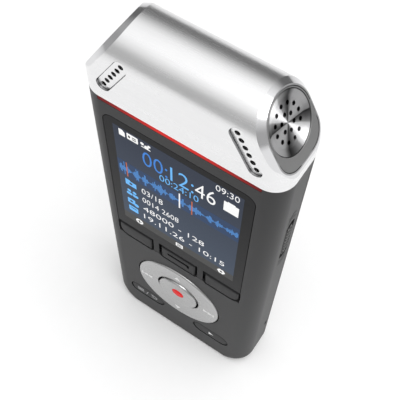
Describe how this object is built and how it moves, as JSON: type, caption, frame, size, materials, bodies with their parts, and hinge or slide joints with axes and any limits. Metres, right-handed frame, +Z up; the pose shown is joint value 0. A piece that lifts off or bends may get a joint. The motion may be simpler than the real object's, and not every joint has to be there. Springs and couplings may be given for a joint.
{
  "type": "digital voice recorder",
  "caption": "Slim pocket voice recorder with colour display, steering ring, record button and a metal header whose slanted ends carry round microphone grilles.",
  "frame": {"origin": "centre of the box's footprint, on the ground under the recorder's bottom end", "axes": "+Z up through the header, -Y out of the display side, +X to the display's right"},
  "size_m": [0.044, 0.0154, 0.1135],
  "materials": {
    "case_plastic": "fine matt texture, anthracite",
    "header_metal": "satin, brushed along the width",
    "plate_metal": "fine satin grey",
    "ring_metal": "satin, circular brushing",
    "grille_metal": "turned and polished",
    "window": "clear gloss over black",
    "display": "lit display glass",
    "red_lens": "translucent red",
    "black_plastic": "matt black",
    "rubber": "soft matt",
    "steel": "plain",
    "board": "green resist",
    "led": "white lens",
    "cell_wrap": "printed film"
  },
  "bodies": {
    "case": {"front_cover": "case_plastic", "rear_cover": "case_plastic", "light_bar": "red_lens", "display_window": "window", "display_panel": "display", "header_shell": "header_metal", "end_plate_left": "plate_metal", "end_plate_right": "plate_metal", "mic_grille_left": "grille_metal", "mic_grille_right": "grille_metal", "mic_boot_left": "rubber", "mic_boot_right": "rubber", "mic_capsule_left": "steel", "mic_capsule_right": "steel", "mic_strip_left": "grille_metal", "mic_strip_right": "grille_metal", "main_board": "board", "keypad_mat": "rubber", "processor": "black_plastic", "memory_chip": "black_plastic", "status_led": "led", "switch_body": "steel", "battery_cell": "cell_wrap", "speaker": "black_plastic", "headphone_jack": "black_plastic", "microphone_jack": "black_plastic", "usb_socket": "steel", "screw_left_lower": "steel", "screw_left_upper": "steel", "screw_right_lower": "steel", "screw_right_upper": "steel"},
    "soft_key_left": {"soft_key_left": "case_plastic"},
    "soft_key_centre": {"soft_key_centre": "case_plastic"},
    "soft_key_right": {"soft_key_right": "case_plastic"},
    "menu_button": {"menu_button": "case_plastic"},
    "play_button": {"play_button": "case_plastic"},
    "record_button": {"record_button": "ring_metal", "record_dot": "red_lens"},
    "nav_rocker": {"nav_rocker": "black_plastic"},
    "nav_ring": {"nav_ring": "ring_metal"},
    "side_switch": {"side_switch": "black_plastic"}
  },
  "joints": [
    {"name": "soft_key_left_press", "type": "slide", "parent": "case", "child": "soft_key_left", "axis": [0, 1, 0], "range_m": [0, 0.0004], "stiffness_N_per_m": 1500},
    {"name": "soft_key_centre_press", "type": "slide", "parent": "case", "child": "soft_key_centre", "axis": [0, 1, 0], "range_m": [0, 0.0004], "stiffness_N_per_m": 1500},
    {"name": "soft_key_right_press", "type": "slide", "parent": "case", "child": "soft_key_right", "axis": [0, 1, 0], "range_m": [0, 0.0004], "stiffness_N_per_m": 1500},
    {"name": "menu_button_press", "type": "slide", "parent": "case", "child": "menu_button", "axis": [0, 1, 0], "range_m": [0, 0.0004], "stiffness_N_per_m": 1500},
    {"name": "play_button_press", "type": "slide", "parent": "case", "child": "play_button", "axis": [0, 1, 0], "range_m": [0, 0.0004], "stiffness_N_per_m": 1500},
    {"name": "record_button_press", "type": "slide", "parent": "case", "child": "record_button", "axis": [0, 1, 0], "range_m": [0, 0.0004], "stiffness_N_per_m": 1500},
    {"name": "steer_up_down", "type": "hinge", "parent": "case", "child": "nav_rocker", "pos_m": [0, -0.00535, 0.02695], "axis": [1, 0, 0], "range_deg": [-1.5, 1.5], "stiffness_Nm_per_rad": 0.4},
    {"name": "steer_left_right", "type": "hinge", "parent": "nav_rocker", "child": "nav_ring", "pos_m": [0, -0.00535, 0.02695], "axis": [0, 0, 1], "range_deg": [-1.5, 1.5], "stiffness_Nm_per_rad": 0.4},
    {"name": "side_switch_slide", "type": "slide", "parent": "case", "child": "side_switch", "axis": [0, 0, 1], "range_m": [-0.0015, 0.0015]}
  ]
}
